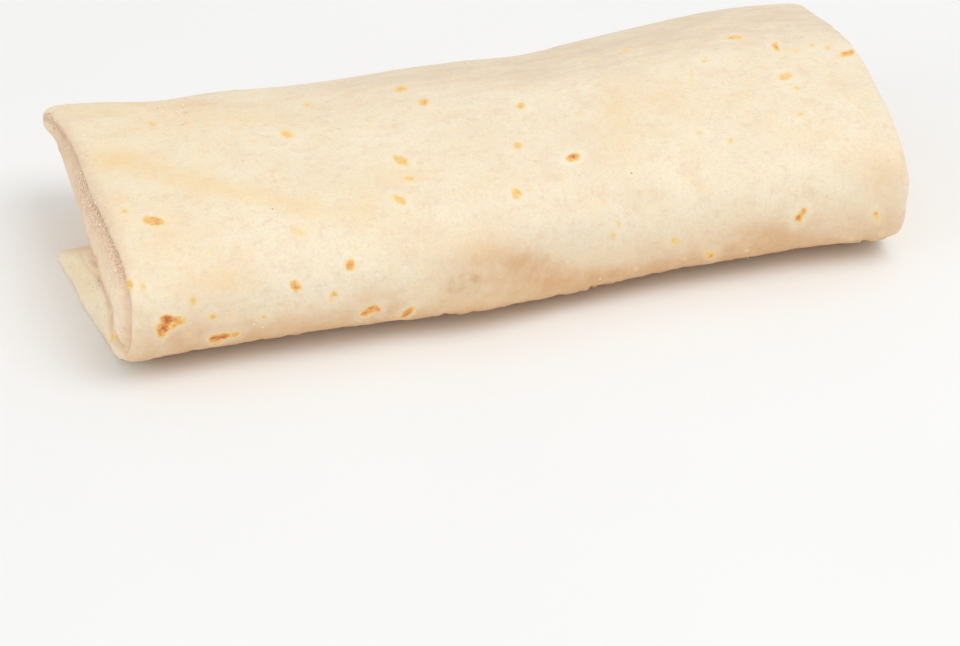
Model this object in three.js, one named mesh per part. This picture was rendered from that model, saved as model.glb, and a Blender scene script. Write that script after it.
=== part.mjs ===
// A frozen burrito: one flour tortilla rolled flat round its filling, with its sides folded in.
//
// The whole is one closed solid. Its surface is a grid of loops. Each loop goes once round the
// roll, from the back (angle 0) over the top (90) and the front (180) to the underside (270).
// Loops in the middle are plain cross-sections. At each end they turn inwards, over the rim of
// the outer wrap and the folded band inside it, and close on a slit across the end. Below the slit
// the underside's sheet comes up as a lip, which ends at its free edge, with a tucked fold behind.
//
// Millimetres. X runs along the roll, Y to the back, Z up. The roll rests on Z = 0.

import * as THREE from "three";

// ---- the roll ----
const HALF_LENGTH = 70; // to the nominal end plane, which rim and band pass or fall short of
const BOTTOM_SINK = 0.35; // the underside is rounded by this much before it is pressed flat
const TOP_POWER = 2.7; // squareness of the section above its widest line, 2 being an ellipse
const BOTTOM_POWER = 3.4; // and below it
const CORE_HEIGHT = 11.5; // height of the line that dents are pressed towards

// Lines along the roll, as [station, value] pairs.
const BACK = [
  [-70, 31.5], [-60, 31.5], [-50, 29.5], [-35, 30.5], [-15, 28.5], [5, 29],
  [15, 28], [27, 29.5], [42, 31], [58, 32], [70, 31],
];
const FRONT = [
  [-70, -34.2], [-50, -32], [-32, -32.2], [-20, -32.8], [-6, -33.7], [10, -32.1], [18, -30.9],
  [30, -29.8], [43, -29.6], [54, -29.5], [62, -30.3], [70, -31.3],
];
const HEIGHT = [
  [-70, 24.4], [-58, 24.4], [-45, 26], [-30, 25], [-10, 26.5], [12, 26], [30, 27], [50, 28], [70, 27],
];
const FRONT_WIDEST = [[-70, 14], [-40, 12.5], [40, 12.5], [70, 14]]; // height of the front's widest line
const BACK_WIDEST = [[-70, 18], [-60, 16], [-45, 13], [40, 12.5], [60, 14], [70, 16]];

// ---- the free edge of the tortilla, under the roll ----
// Its line across the underside, as [station, place across] pairs.
const SEAM = [[-74, 13.9], [-68, 12.3], [-50, 12.4], [0, 15], [50, 12.5], [74, 9]];
const SHEET = 1.8; // thickness of the tortilla, the height of the step at its edge
const STEP_FADE = 9; // distance over which the layer behind comes down to the ground again
const STEP_RISE = 0.5; // how far down the section, 0 to 1, the step has its whole height
const EDGE_SLOPE = 0.25; // horizontal width of the step

// ---- dents pressed into the wrap: station, angle, depth, reach along, reach round ----
const DENTS = [
  [9, 180, 1.2, 9, 17],
  [-52, 62, 0.7, 10, 14],
  [22, 60, 0.6, 9, 16],
  [-24, 100, 0.4, 16, 30],
  [34, 98, -0.4, 18, 30],
  [-40, 190, -0.4, 12, 30],
];

// ---- the ends ----
// Reach beyond HALF_LENGTH by angle: of the outer wrap's rim as far as its free edge, of the
// folded band inside it, and of the underside behind the free edge. The nub is where the fold
// curls over at the back corner: its place across and up, its size and how far it stands out.
const LEFT_END = {
  side: -1,
  rim: [
    [0, 0.2], [20, 0.2], [35, 0.5], [48, 0.9], [60, 0.5], [70, -0.1], [80, -0.4], [90, -0.4],
    [100, -0.6], [125, -1.6], [150, -2], [180, -1.9], [195, -1.6], [208, -1.1], [222, -0.6],
    [232, 0], [245, 0.3], [254, 0.7], [264, 1.6], [272, 3.1], [290, 3.9],
  ],
  band: [
    [0, 0.4], [30, 0.7], [50, 0.75], [75, 0.85], [110, 0.8], [150, 0.8], [180, 0.9], [200, 0.5],
    [215, -0.3], [230, -1.5],
  ],
  behind: [[270, -6.5], [300, -7], [318, -6.4], [334, -4.2], [348, -1.6], [360, 0.2]],
  nub: [28.8, 18.2, 2.6, 1.9],
};
const RIGHT_END = {
  side: 1,
  rim: [
    [0, 0.8], [20, 1.4], [40, 1.2], [52, 1], [62, 1.3], [75, 2.1], [88, 2.8], [105, 1.8],
    [120, 1.3], [140, 1.2], [160, 1.3], [180, 1.4], [200, 1.1], [225, 0.9], [240, 0.9],
    [262, 1], [300, 1.2],
  ],
  band: [[0, 0.2], [30, 1], [60, 1.6], [90, 1.6], [120, 0.7], [180, 0.8], [205, 0.2], [225, -1.5]],
  behind: [[270, -5], [300, -5.8], [318, -5.4], [334, -3.6], [348, -1.1], [360, 0.6]],
  nub: [27, 18, 4, 0.4],
};
const SLIT_HALF = 19; // half length of the slit, along Y
const SLIT_HEIGHT = [[-19, 11], [-8, 13.2], [19, 15]]; // its height, by place along it
// Where the lines of the underside end along the slit, as [place across, place along the slit]:
// ahead of the free edge, and behind it.
const LIP_SLIT = [[-31, -19], [-19, -17], [-6, -12.5], [12, -8]];
const TUCK_SLIT = [[12, -8], [20, 6], [31, 19]];
const FOOT = 0.7; // how far down the section, 0 to 1, these lines hold in full

// The way in from the outside to the slit, as [offset from the reach, distance in, share of the
// band's reach against the rim's, distance kept from the slit]. Over the top and the front it
// passes rim, crease and band, and closes in the slit's groove.
const BAND_PROFILE = [
  [-14, 0, 0, 3], [-9, 0, 0, 3], [-5.5, 0.02, 0, 3], [-2.4, 0.15, 0, 3], [-0.9, 0.45, 0, 3],
  [-0.25, 0.8, 0, 3], [0, 1.15, 0, 3], [-0.2, 1.5, 0.05, 3], [-0.6, 1.75, 0.2, 3],
  [-0.6, 2.05, 0.42, 3], [-0.45, 2.6, 0.66, 3], [-0.25, 3.7, 0.86, 3], [-0.05, 5.2, 0.98, 3],
  [0, 7.2, 1, 3], [-0.15, 9.4, 1, 2.4], [-0.5, 11.4, 1, 1.8], [-1.4, 13.2, 1, 1], [-3.2, 16, 1, 0.5],
  [-6, 30, 1, 0.25],
];
// Underneath, the sheet's lip slopes in from its edge up to the slit.
const LIP_PROFILE = [
  [-14, 0, 0, 3], [-9, 0, 0, 3], [-5.5, 0, 0, 3], [-2.4, 0.05, 0, 3], [-0.8, 0.3, 0, 3],
  [-0.15, 0.9, 0, 3], [0, 1.7, 0, 3], [-0.1, 2.6, 0, 3], [-0.35, 3.5, 0, 3], [-0.6, 4.2, 0, 3],
  [-0.95, 5, 0, 3], [-1.3, 5.8, 0, 3], [-1.7, 6.7, 0, 3], [-2.1, 7.6, 0, 3], [-2.6, 8.6, 0, 2.4],
  [-3.2, 9.6, 0, 1.8], [-2.5, 11.4, 0.5, 1], [-2.2, 14.5, 1, 0.5], [-5, 30, 1, 0.25],
];
// Behind the free edge the tucked fold stands nearly upright.
const TUCK_PROFILE = [
  [-14, 0, 0, 3], [-9, 0, 0, 3], [-5.5, 0, 0, 3], [-2.4, 0.05, 0, 3], [-0.8, 0.3, 0, 3],
  [-0.15, 0.9, 0, 3], [0, 1.7, 0, 3], [0, 2.6, 0, 3], [0, 3.5, 0, 3], [0, 4.2, 0, 3],
  [0, 5, 0, 3], [0, 5.8, 0, 3], [0, 6.7, 0, 3], [0, 7.6, 0, 3], [0, 8.6, 0, 2.4],
  [0, 9.6, 0, 1.8], [0, 11.4, 0, 1], [0, 14.5, 0, 0.5], [0, 30, 0, 0.25],
];
const LAST = BAND_PROFILE.length - 1;
const END_DEPTH = 14; // the stretch at each end over which the rim's reach shapes the outside
const FULL_DEPTH = 2; // within this of the rim its reach counts in full
const NO_SHARE = 0.01; // below this share a line still belongs to the outside
const LIP_FROM = 205; // the band narrows to nothing between these angles, at the front's foot
const LIP_TO = 226;
const TUCK_FROM = 326; // and widens again between these, up the back
const TUCK_TO = 358;
const THIN_NEAR_EDGE = 0.85; // behind the free edge the underside's rim thins by this share
const THIN_REACH = 5;
const THIN_DEPTH = [2, 6]; // and no longer does between these distances in
const CORNER = 0.4; // how far the lip's corner at the free edge is rounded off
const CORNER_REACH = 1.2;
const FRONT_ANGLE = 180; // only the underside, past this angle, has that corner

// ---- fineness of the surface ----
const COLUMNS = 82; // round the roll
const END_LOOPS = 22; // at each end, from the plain section in to the slit
const MIDDLE_LOOPS = 18;

const degrees = THREE.MathUtils.radToDeg;
const { clamp, lerp, smoothstep } = THREE.MathUtils;

// Smooth curve through [position, value] pairs, held level past both ends.
function through(pairs, at, value = 1) {
  const last = pairs.length - 1;
  const x = clamp(at, pairs[0][0], pairs[last][0]);
  let i = 0;
  while (i < last - 1 && x >= pairs[i + 1][0]) i += 1;
  const slope = (k) => {
    const [a, b] = [Math.max(k - 1, 0), Math.min(k + 1, last)];
    return (pairs[b][value] - pairs[a][value]) / (pairs[b][0] - pairs[a][0]);
  };
  const h = pairs[i + 1][0] - pairs[i][0];
  const f = (x - pairs[i][0]) / h;
  const rise = f * f * (3 - 2 * f);
  return (
    pairs[i][value] * (1 - rise) +
    pairs[i + 1][value] * rise +
    h * f * (1 - f) * ((1 - f) * slope(i) - f * slope(i + 1))
  );
}

const numbered = (profile) => profile.map((point, i) => [i, ...point]);
const BAND_STEPS = numbered(BAND_PROFILE);
const LIP_STEPS = numbered(LIP_PROFILE);
const TUCK_STEPS = numbered(TUCK_PROFILE);
const [OFFSET, INSET, SHARE, KEPT] = [1, 2, 3, 4];

function dentAt(x, angle) {
  return DENTS.reduce((sum, [station, middle, depth, along, round]) => {
    const across = (degrees(angle) - middle) / round;
    return sum + depth * Math.exp(-(((x - station) / along) ** 2) - across ** 2);
  }, 0);
}

// The outside of the roll at one station and angle, as [y, z].
function outside(x, angle, behindSeam) {
  const [c, s] = [Math.cos(angle), Math.sin(angle)];
  const power = s > 0 ? TOP_POWER : BOTTOM_POWER;
  const [back, front] = [through(BACK, x), through(FRONT, x)];
  const across = Math.sign(c) * Math.abs(c) ** (2 / power);
  let y = (back + front) / 2 + ((back - front) / 2) * across;
  const widest = lerp(
    through(FRONT_WIDEST, x),
    through(BACK_WIDEST, x),
    smoothstep(across, -1, 1),
  );
  const reach = s > 0 ? through(HEIGHT, x) - widest : -(widest + BOTTOM_SINK);
  let z = widest + reach * Math.abs(s) ** (2 / power);
  if (behindSeam && s < 0) {
    const past = Math.max(y - through(SEAM, x), 0);
    z += SHEET * Math.exp(-((past / STEP_FADE) ** 2)) * smoothstep(-s, 0, STEP_RISE);
  }
  const dent = dentAt(x, angle) / Math.hypot(y, z - CORE_HEIGHT);
  y -= y * dent;
  z -= (z - CORE_HEIGHT) * dent;
  return [y, z];
}

// The angle at which the underside passes the seam, or a point a little behind it.
function seamAngle(x, past = 0) {
  const [back, front] = [through(BACK, x), through(FRONT, x)];
  const across = (through(SEAM, x) + past - (back + front) / 2) / ((back - front) / 2);
  return 2 * Math.PI - Math.acos(Math.sign(across) * Math.abs(across) ** (BOTTOM_POWER / 2));
}

// Angles of the columns at the middle of the roll, evenly spread along the section: one run as
// far as the free edge, and one from just behind it.
function columnAngles() {
  const STEPS = 4000;
  const lengths = [0];
  let previous = outside(0, 0, false);
  for (let i = 1; i <= STEPS; i += 1) {
    const next = outside(0, (2 * Math.PI * i) / STEPS, false);
    lengths.push(lengths[i - 1] + Math.hypot(next[0] - previous[0], next[1] - previous[1]));
    previous = next;
  }
  const lengthAt = (angle) => lengths[Math.round((angle / (2 * Math.PI)) * STEPS)];
  const angleAt = (length) => {
    const i = Math.min(lengths.findIndex((l) => l >= length), STEPS);
    const part = i > 0 ? (length - lengths[i - 1]) / (lengths[i] - lengths[i - 1]) : 0;
    return (2 * Math.PI * (i > 0 ? i - 1 + part : 0)) / STEPS;
  };
  const edge = seamAngle(0);
  const after = seamAngle(0, EDGE_SLOPE);
  const round = lengths[STEPS];
  const before = Math.round((COLUMNS * lengthAt(edge)) / round);
  const rest = COLUMNS - before;
  const angles = [];
  for (let i = 0; i < before - 1; i += 1) angles.push(angleAt((lengthAt(edge) * i) / (before - 1)));
  angles.push(edge, after);
  for (let i = 1; i < rest; i += 1) {
    angles.push(angleAt(lengthAt(after) + ((round - lengthAt(after)) * i) / rest));
  }
  return { angles, before };
}

const { angles: MIDDLE_ANGLES, before: SEAM_COLUMN } = columnAngles();
const SEAM_PULL = 0.6; // radians either side of the seam over which columns follow it

// A column's angle at any station: near the seam the columns move with it.
function angleOf(column, x) {
  const behind = column >= SEAM_COLUMN;
  const past = behind ? EDGE_SLOPE : 0;
  const home = MIDDLE_ANGLES[behind ? SEAM_COLUMN : SEAM_COLUMN - 1];
  const away = (MIDDLE_ANGLES[column] - home) / SEAM_PULL;
  return MIDDLE_ANGLES[column] + (seamAngle(x, past) - seamAngle(0, past)) * Math.exp(-away * away);
}

function middlePoint(column, x) {
  const [y, z] = outside(x, angleOf(column, x), column >= SEAM_COLUMN);
  return new THREE.Vector3(x, y, Math.max(z, 0));
}

// How far the rim reaches past HALF_LENGTH in one column.
function rimReach(end, column, angle) {
  if (column >= SEAM_COLUMN) return through(end.behind, angle);
  const x = end.side * HALF_LENGTH;
  const ahead = through(SEAM, x) - outside(x, angleOf(column, x), false)[0];
  const corner = angle > FRONT_ANGLE ? CORNER * Math.exp(-((ahead / CORNER_REACH) ** 2)) : 0;
  return through(end.rim, angle) - corner;
}

// A point of one end, `step` along the way in from the outside (0) to the slit (LAST).
function endPoint(end, column, step) {
  const behind = column >= SEAM_COLUMN;
  const angle = degrees(angleOf(column, end.side * HALF_LENGTH));
  const rim = rimReach(end, column, angle);
  const tucked = smoothstep(angle, TUCK_FROM, TUCK_TO);
  const bandOwn = through(end.band, angle);
  const band = behind ? lerp(bandOwn, rim, tucked) : bandOwn;
  const banded = behind ? tucked : 1 - smoothstep(angle, LIP_FROM, LIP_TO);

  const along = (steps) => {
    const offset = through(steps, step, OFFSET);
    const share = clamp(through(steps, step, SHARE), 0, 1);
    const shaped = share > NO_SHARE ? 1 : smoothstep(offset, -END_DEPTH, -FULL_DEPTH);
    const reach = lerp(rim, band, share) * shaped + offset;
    return [reach, Math.max(through(steps, step, INSET), 0), through(steps, step, KEPT)];
  };
  const below = along(behind ? TUCK_STEPS : LIP_STEPS);
  const full = along(BAND_STEPS);
  const [reach, wayIn, kept] = below.map((value, i) => lerp(value, full[i], banded));

  const x = end.side * (HALF_LENGTH + reach);
  const turn = angleOf(column, x);
  const [y, z] = outside(x, turn, behind);
  const under = through(behind ? TUCK_SLIT : LIP_SLIT, y);
  const middle = lerp(clamp(y, -SLIT_HALF, SLIT_HALF), under, smoothstep(-Math.sin(turn), 0, FOOT));
  const height = through(SLIT_HEIGHT, middle);
  const whole = Math.hypot(y - middle, z - height);
  const near = behind ? Math.exp(-(((y - through(SEAM, x)) / THIN_REACH) ** 2)) : 0;
  const way = wayIn * (1 - THIN_NEAR_EDGE * near * (1 - smoothstep(wayIn, ...THIN_DEPTH)));
  const part = Math.min(way, whole - kept) / whole;
  const point = new THREE.Vector3(x, lerp(y, middle, part), Math.max(lerp(z, height, part), 0));
  const [across, up, size, stands] = end.nub;
  const fall = Math.exp(-(((point.y - across) / size) ** 2) - ((point.z - up) / size) ** 2);
  point.x += end.side * stands * fall;
  return point;
}

// Steps along the end's profile that lie evenly along its line.
function profileSteps(count) {
  const FINE = 600;
  const flat = (i) => {
    const step = (LAST * i) / FINE;
    const inset = Math.min(through(BAND_STEPS, step, INSET), CORE_HEIGHT);
    return new THREE.Vector2(through(BAND_STEPS, step, OFFSET), inset);
  };
  const lengths = [0];
  for (let i = 1; i <= FINE; i += 1) lengths.push(lengths[i - 1] + flat(i).distanceTo(flat(i - 1)));
  return Array.from({ length: count }, (_, k) => {
    const wanted = (lengths[FINE] * k) / (count - 1);
    return (LAST * Math.max(lengths.findIndex((l) => l >= wanted - 1e-9), 0)) / FINE;
  });
}

function burritoGeometry() {
  const steps = profileSteps(END_LOOPS);
  const columns = Array.from({ length: COLUMNS }, (_, i) => i);
  const loops = [];
  for (const step of [...steps].reverse()) loops.push(columns.map((i) => endPoint(LEFT_END, i, step)));
  const start = HALF_LENGTH - END_DEPTH;
  for (let k = 1; k <= MIDDLE_LOOPS; k += 1) {
    const x = lerp(-start, start, k / (MIDDLE_LOOPS + 1));
    loops.push(columns.map((i) => middlePoint(i, x)));
  }
  for (const step of steps) loops.push(columns.map((i) => endPoint(RIGHT_END, i, step)));

  const faces = [];
  const quad = (a, b, c, d) => faces.push(a, b, c, a, c, d);
  for (let j = 0; j < loops.length - 1; j += 1) {
    for (const i of columns) {
      const next = (i + 1) % COLUMNS;
      const [low, high] = [j * COLUMNS, (j + 1) * COLUMNS];
      quad(low + i, low + next, high + next, high + i);
    }
  }
  // Each end's last loop is zipped shut across the slit, top to bottom.
  const zip = (base, turn) => {
    const at = (i) => base + ((i + COLUMNS) % COLUMNS);
    for (let i = 0; i < COLUMNS / 2; i += 1) {
      const [a, b, c, d] = [at(i), at(i + 1), at(-i - 1), at(-i)];
      if (a !== d) faces.push(...(turn ? [a, d, b] : [a, b, d]));
      if (b !== c) faces.push(...(turn ? [b, d, c] : [b, c, d]));
    }
  };
  zip(0, true);
  zip((loops.length - 1) * COLUMNS, false);

  const geometry = new THREE.BufferGeometry();
  geometry.setFromPoints(loops.flat());
  geometry.setIndex(faces);
  geometry.computeBoundingBox();
  const middle = geometry.boundingBox.getCenter(new THREE.Vector3());
  geometry.translate(-middle.x, -middle.y, -geometry.boundingBox.min.z);
  geometry.computeVertexNormals();
  return geometry;
}

const tortilla = new THREE.MeshStandardMaterial({ color: 0xf2dfc2, roughness: 0.85, metalness: 0 });
const burrito = new THREE.Mesh(burritoGeometry(), tortilla);
burrito.name = "burrito";

const group = new THREE.Group();
group.add(burrito);

export default group;
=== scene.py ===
"""The looks of a frozen burrito: a flour tortilla rolled flat round its filling.

The tortilla is one fine mesh on the same form as the solid that it replaces, with its dents,
blisters and wrinkles as geometry. What the sheet shows at each place, such as toast marks, frost
and painted light and shade, is worked out in code and handed to its material as attributes. The
frost is a second piece, of small grains. The form is in millimetres until the meshes are made.
"""

import math

import bmesh
import bpy
import numpy as np
from mathutils import Matrix, Vector


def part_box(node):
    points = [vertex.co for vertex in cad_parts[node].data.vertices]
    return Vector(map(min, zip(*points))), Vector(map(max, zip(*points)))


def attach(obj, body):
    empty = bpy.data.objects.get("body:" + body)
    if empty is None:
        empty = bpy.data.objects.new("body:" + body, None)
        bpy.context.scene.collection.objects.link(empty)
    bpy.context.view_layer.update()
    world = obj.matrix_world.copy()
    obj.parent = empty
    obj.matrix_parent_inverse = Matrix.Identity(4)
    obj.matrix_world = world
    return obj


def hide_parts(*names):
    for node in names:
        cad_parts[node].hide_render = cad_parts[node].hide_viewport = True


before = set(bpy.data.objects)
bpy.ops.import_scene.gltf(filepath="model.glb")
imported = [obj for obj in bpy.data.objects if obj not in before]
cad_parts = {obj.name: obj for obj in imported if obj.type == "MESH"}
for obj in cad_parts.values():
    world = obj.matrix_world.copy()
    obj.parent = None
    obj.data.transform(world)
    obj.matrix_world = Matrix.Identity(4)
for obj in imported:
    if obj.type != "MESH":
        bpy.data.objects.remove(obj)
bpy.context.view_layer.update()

MM = 0.001
SEED = 7

# ---- the picture's frame and the camera ----
PICTURE = (960, 646)  # pixels
LENS, SENSOR = 135.0, 36.0  # millimetres
AZIMUTH, ELEVATION = math.radians(-15.76), math.radians(33.0)
CAMERA_AT = np.array([-148.8, -533.3, 340.7])  # millimetres

# ---- the form, as in the solid's source ----
HALF_LENGTH = 70.0  # to the nominal end plane, which rim and band pass or fall short of
BOTTOM_SINK = 0.35
TOP_POWER, BOTTOM_POWER = 2.7, 3.4

# Lines along the roll, as (station, value) pairs: how far it reaches to the back, front and top,
# how high its sides are widest, and where the free edge is across.
BACK = [
    (-70, 31.5), (-60, 31.5), (-50, 29.5), (-35, 30.5), (-15, 28.5), (5, 29),
    (15, 28), (27, 29.5), (42, 31), (58, 32), (70, 31),
]
FRONT = [
    (-70, -34.2), (-50, -32), (-32, -32.2), (-20, -32.8), (-6, -33.7), (10, -32.1), (18, -30.9),
    (30, -29.8), (43, -29.6), (54, -29.5), (62, -30.3), (70, -31.3),
]
HEIGHT = [
    (-70, 24.4), (-58, 24.4), (-45, 26), (-30, 25), (-10, 26.5), (12, 26), (30, 27), (50, 28), (70, 27),
]
FRONT_WIDEST = [(-70, 14), (-40, 12.5), (40, 12.5), (70, 14)]
BACK_WIDEST = [(-70, 18), (-60, 16), (-45, 13), (40, 12.5), (60, 14), (70, 16)]
SEAM = [(-74, 13.9), (-68, 12.3), (-50, 12.4), (0, 15), (50, 12.5), (74, 9)]
SHEET, STEP_FADE, EDGE_SLOPE = 1.8, 9.0, 0.25  # thickness, reach of the step behind the edge, its face

# Dents pressed into the wrap: station, angle, depth, reach along, reach round.
DENTS = [
    (9, 180, 1.2, 9, 17), (-52, 62, 0.7, 10, 14), (22, 60, 0.6, 9, 16),
    (-24, 100, 0.4, 16, 30), (34, 98, -0.4, 18, 30), (-40, 190, -0.4, 12, 30),
]

# Reach beyond HALF_LENGTH by angle: of the rim, of the band inside it, and of the underside
# behind the free edge. The nub is where the fold curls over at the back corner: its place across
# and up, its size and how far it stands out.
LEFT_END = {
    "side": -1,
    "rim": [
        (0, 0.2), (20, 0.2), (35, 0.5), (48, 0.9), (60, 0.5), (70, -0.1), (80, -0.4), (90, -0.4),
        (100, -0.6), (125, -1.6), (150, -2), (180, -1.9), (195, -1.6), (208, -1.1), (222, -0.6),
        (232, 0), (245, 0.3), (254, 0.7), (264, 1.6), (272, 3.1), (290, 3.9),
    ],
    "band": [
        (0, 0.4), (30, 0.7), (50, 0.75), (75, 0.85), (110, 0.8), (150, 0.8), (180, 0.9), (200, 0.5),
        (215, -0.3), (230, -1.5),
    ],
    "behind": [(270, -6.5), (300, -7), (318, -6.4), (334, -4.2), (348, -1.6), (360, 0.2)],
    "nub": (28.8, 18.2, 2.6, 1.9),
}
RIGHT_END = {
    "side": 1,
    "rim": [
        (0, 0.8), (20, 1.4), (40, 1.2), (52, 1), (62, 1.3), (75, 2.1), (88, 2.8), (105, 1.8),
        (120, 1.3), (140, 1.2), (160, 1.3), (180, 1.4), (200, 1.1), (225, 0.9), (240, 0.9),
        (262, 1), (300, 1.2),
    ],
    "band": [(0, 0.2), (30, 1), (60, 1.6), (90, 1.6), (120, 0.7), (180, 0.8), (205, 0.2), (225, -1.5)],
    "behind": [(270, -5), (300, -5.8), (318, -5.4), (334, -3.6), (348, -1.1), (360, 0.6)],
    "nub": (27, 18, 4, 0.4),
}
SLIT_HALF = 19.0
SLIT_HEIGHT = [(-19, 11), (-8, 13.2), (19, 15)]
CORE_HEIGHT = 11.5  # what the dents are pressed towards

# The way in from the outside to the slit: offset from the reach, distance in, share of the
# band's reach against the rim's, and the distance from the slit that is kept.
BAND_PROFILE = [
    (-14, 0, 0, 3), (-9, 0, 0, 3), (-5.5, 0.02, 0, 3), (-2.4, 0.15, 0, 3), (-0.9, 0.45, 0, 3),
    (-0.25, 0.8, 0, 3), (0, 1.15, 0, 3), (-0.2, 1.5, 0.05, 3), (-0.6, 1.75, 0.2, 3),
    (-0.6, 2.05, 0.42, 3), (-0.45, 2.6, 0.66, 3), (-0.25, 3.7, 0.86, 3), (-0.05, 5.2, 0.98, 3),
    (0, 7.2, 1, 3), (-0.15, 9.4, 1, 2.4), (-0.5, 11.4, 1, 1.8), (-1.4, 13.2, 1, 1), (-3.2, 16, 1, 0.5),
    (-6, 30, 1, 0.25),
]
LIP_PROFILE = [
    (-14, 0, 0, 3), (-9, 0, 0, 3), (-5.5, 0, 0, 3), (-2.4, 0.05, 0, 3), (-0.8, 0.3, 0, 3),
    (-0.15, 0.9, 0, 3), (0, 1.7, 0, 3), (-0.1, 2.6, 0, 3), (-0.35, 3.5, 0, 3), (-0.6, 4.2, 0, 3),
    (-0.95, 5, 0, 3), (-1.3, 5.8, 0, 3), (-1.7, 6.7, 0, 3), (-2.1, 7.6, 0, 3), (-2.6, 8.6, 0, 2.4),
    (-3.2, 9.6, 0, 1.8), (-2.5, 11.4, 0.5, 1), (-2.2, 14.5, 1, 0.5), (-5, 30, 1, 0.25),
]
LIP_BEND = 6  # the step where the lip turns in
# The tucked fold behind the free edge: like the lip as far as its bend, and then straight in.
TUCK_PROFILE = LIP_PROFILE[:LIP_BEND] + [
    (0, inset, 0, kept) for _, inset, _, kept in LIP_PROFILE[LIP_BEND:]
]
# Where the lines of the underside end along the slit: ahead of the free edge and behind it, as
# (place across, place along the slit).
LIP_SLIT = [(-31, -19), (-19, -17), (-6, -12.5), (12, -8)]
TUCK_SLIT = [(12, -8), (20, 6), (31, 19)]
LAST = len(BAND_PROFILE) - 1
OFFSET, INSET, SHARE, KEPT = 1, 2, 3, 4
END_DEPTH = 14.0  # of the loops that make an end
LIP_FROM, LIP_TO = 205, 226  # degrees, where the band goes over into the lip
TUCK_FROM, TUCK_TO = 326, 358  # degrees, where the tucked fold goes over into the band
THIN_NEAR_EDGE, THIN_REACH = 0.85, 5.0  # how much thinner the tucked fold is at the free edge
CORNER, CORNER_REACH = 0.4, 1.2  # how far the lip's corner at the free edge is rounded off
SEAM_PULL = 0.6  # radians to both sides where columns follow the free edge

# ---- fineness ----
COLUMNS = 284
EDGE_COLUMNS = 4  # added across the step at the free edge
UNDERSIDE_SPACING = 2.6  # times the spacing elsewhere
END_LOOPS = 62
MIDDLE_LOOPS = 216
UNDERSIDE_HALF = 24.0  # from the middle line, where the underside's spacing is wide
ROUND_SAMPLES, PROFILE_SAMPLES = 4001, 601  # for measuring lengths along curves


def through(pairs, at, value=1):
    """Smooth curve through (position, value) pairs, held level past both ends."""
    p = np.array([pair[0] for pair in pairs], float)
    v = np.array([pair[value] for pair in pairs], float)
    slope = np.empty(len(p))
    slope[1:-1] = (v[2:] - v[:-2]) / (p[2:] - p[:-2])
    slope[0] = (v[1] - v[0]) / (p[1] - p[0])
    slope[-1] = (v[-1] - v[-2]) / (p[-1] - p[-2])
    x = np.clip(at, p[0], p[-1])
    i = np.clip(np.searchsorted(p, x, side="right") - 1, 0, len(p) - 2)
    h = p[i + 1] - p[i]
    f = (x - p[i]) / h
    rise = f * f * (3 - 2 * f)
    bend = h * f * (1 - f) * ((1 - f) * slope[i] - f * slope[i + 1])
    return v[i] * (1 - rise) + v[i + 1] * rise + bend


def smoothstep(low, high, x):
    f = np.clip((x - low) / (high - low), 0, 1)
    return f * f * (3 - 2 * f)


def soft(distance):
    """1 at no distance, fading to nothing by a distance of about 2."""
    return np.exp(-(distance**2))


def lerp(a, b, f):
    return a + (b - a) * f


def outside(x, angle, behind):
    """The outside of the roll at stations x and angles (radians), as (y, z)."""
    x, angle, behind = np.broadcast_arrays(x, angle, behind)
    c, s = np.cos(angle), np.sin(angle)
    power = np.where(s > 0, TOP_POWER, BOTTOM_POWER)
    back, front = through(BACK, x), through(FRONT, x)
    across = np.sign(c) * np.abs(c) ** (2 / power)
    y = (back + front) / 2 + (back - front) / 2 * across
    widest = lerp(through(FRONT_WIDEST, x), through(BACK_WIDEST, x), smoothstep(-1, 1, across))
    reach = np.where(s > 0, through(HEIGHT, x) - widest, -(widest + BOTTOM_SINK))
    z = widest + reach * np.abs(s) ** (2 / power)
    past = np.maximum(y - through(SEAM, x), 0)
    step = SHEET * soft(past / STEP_FADE) * smoothstep(0, 0.5, -s)
    z = z + np.where(behind & (s < 0), step, 0)
    dent = np.zeros(x.shape)
    for station, middle, depth, along, round_ in DENTS:
        turn = (np.degrees(angle) - middle) / round_
        dent += depth * np.exp(-(((x - station) / along) ** 2) - turn**2)
    dent /= np.hypot(y, z - CORE_HEIGHT)
    return y - y * dent, z - (z - CORE_HEIGHT) * dent


def seam_angle(x, past=0.0):
    """The angle at which the underside passes the free edge, or a point a little behind it."""
    back, front = through(BACK, x), through(FRONT, x)
    across = (through(SEAM, x) + past - (back + front) / 2) / ((back - front) / 2)
    return 2 * np.pi - np.arccos(np.sign(across) * np.abs(across) ** (BOTTOM_POWER / 2))


def column_angles():
    """Angles of the columns at the roll's middle, and the index of the first behind the edge."""
    fine = np.linspace(0, 2 * np.pi, ROUND_SAMPLES)
    y, z = outside(0.0, fine, False)
    middle = (y[1:] + y[:-1]) / 2
    under = (np.sin(fine[1:]) < 0) & (np.abs(middle) < UNDERSIDE_HALF)
    weight = np.where(under, 1 / UNDERSIDE_SPACING, 1.0)
    lengths = np.concatenate([[0], np.cumsum(np.hypot(np.diff(y), np.diff(z)) * weight)])
    edge, after = seam_angle(0.0), seam_angle(0.0, EDGE_SLOPE)
    at_edge, at_after = np.interp([edge, after], fine, lengths)
    before = round(COLUMNS * at_edge / lengths[-1])
    first = np.interp(np.linspace(0, at_edge, before), lengths, fine)
    rest = np.interp(np.linspace(at_after, lengths[-1], COLUMNS - before + 1)[:-1], lengths, fine)
    return np.concatenate([first, rest]), before


MIDDLE_ANGLES, SEAM_COLUMN = column_angles()
BEHIND = np.arange(COLUMNS) >= SEAM_COLUMN


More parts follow.
